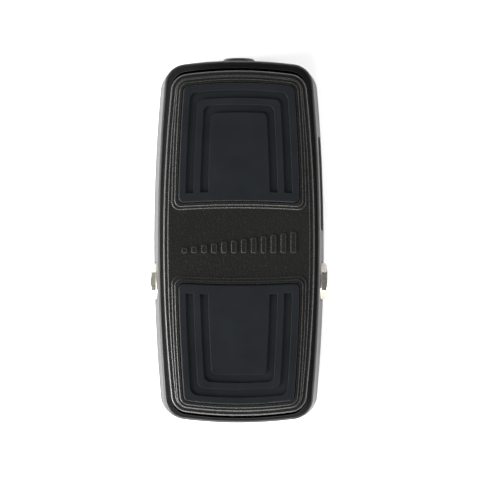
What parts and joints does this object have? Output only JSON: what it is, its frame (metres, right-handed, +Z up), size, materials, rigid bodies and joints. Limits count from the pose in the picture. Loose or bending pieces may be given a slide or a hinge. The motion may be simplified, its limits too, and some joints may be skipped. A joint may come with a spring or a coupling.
{
  "type": "volume pedal",
  "caption": "Compact rocker volume pedal: a treadle with grooved rubber pads pivots in a flared cast base and turns a geared potentiometer; jack sockets in the sides.",
  "frame": {"origin": "on the ground under the middle of the pedal's bounding box", "axes": "+X to the right-hand side, +Y towards the toe end, +Z up"},
  "size_m": [0.0632, 0.1302, 0.0469],
  "materials": {
    "base_paint": "semi-gloss fine-textured black powder coat",
    "treadle_paint": "matt wrinkle-textured black powder coat",
    "pad_rubber": "matt moulded rubber",
    "foot_rubber": "matt moulded rubber",
    "nickel": "bright nickel plating",
    "steel": "bare steel",
    "black_screw": "black oxide",
    "plate_paint": "satin black paint",
    "bronze": "sintered bronze",
    "contact": "plated spring metal",
    "nylon": "natural nylon",
    "fibre": "vulcanised fibre",
    "black_plastic": "moulded black plastic",
    "gloss_black": "gloss black inlay",
    "board": "solder-masked glass-epoxy board",
    "resistor": "chip resistor",
    "capacitor_sleeve": "shrink sleeve",
    "pot_case": "pressed steel case",
    "carbon": "carbon track",
    "wire_sleeve": "wire insulation"
  },
  "bodies": {
    "base": {"base_shell": "base_paint", "board_resistors": "resistor", "board_screws": "steel", "board_standoffs": "contact", "bottom_plate": "plate_paint", "bottom_plate_screws": "black_screw", "circuit_board": "board", "dc_socket_body": "black_plastic", "dc_socket_contacts": "contact", "dc_socket_nut": "black_plastic", "dc_socket_pin": "nickel", "friction_washer_left": "fibre", "friction_washer_right": "fibre", "heel_bumper_left": "foot_rubber", "heel_bumper_right": "foot_rubber", "input_capacitor": "capacitor_sleeve", "input_jack_body": "black_plastic", "input_jack_bushing": "nickel", "input_jack_contacts": "contact", "input_jack_nut": "nickel", "input_jack_washer": "nickel", "op_amp_chip": "black_plastic", "output_capacitor": "capacitor_sleeve", "output_jack_body": "black_plastic", "output_jack_bushing": "nickel", "output_jack_contacts": "contact", "output_jack_nut": "nickel", "output_jack_washer": "nickel", "pivot_bushing_left": "bronze", "pivot_bushing_right": "bronze", "pot_bracket": "steel", "pot_bracket_screws": "steel", "pot_housing": "pot_case", "pot_lock_washer": "nickel", "pot_nut": "nickel", "pot_terminals": "contact", "pot_track": "carbon", "pot_wires": "wire_sleeve", "power_capacitor": "capacitor_sleeve", "power_wires": "wire_sleeve", "rubber_feet": "foot_rubber", "side_inlay": "gloss_black", "toe_bumper_left": "foot_rubber", "toe_bumper_right": "foot_rubber"},
    "rocker": {"treadle": "treadle_paint", "toe_pad": "pad_rubber", "heel_pad": "pad_rubber", "pivot_shaft": "steel", "shaft_grub_screws": "black_screw", "sector_gear": "nylon", "sector_gear_screws": "steel"},
    "spindle": {"pot_shaft": "steel", "pinion": "nylon", "pot_wiper": "contact"}
  },
  "joints": [
    {"name": "treadle_pivot", "type": "hinge", "parent": "base", "child": "rocker", "pos_m": [0, 0, 0.0315], "axis": [1, 0, 0], "range_deg": [-8, 8]},
    {"name": "pot_spin", "type": "hinge", "parent": "base", "child": "spindle", "pos_m": [0, 0.02855, 0.01819], "axis": [1, 0, 0], "range_deg": [-48, 48]}
  ],
  "couplings": [
    {"joint": "pot_spin", "follows": "treadle_pivot", "ratio": -6}
  ]
}
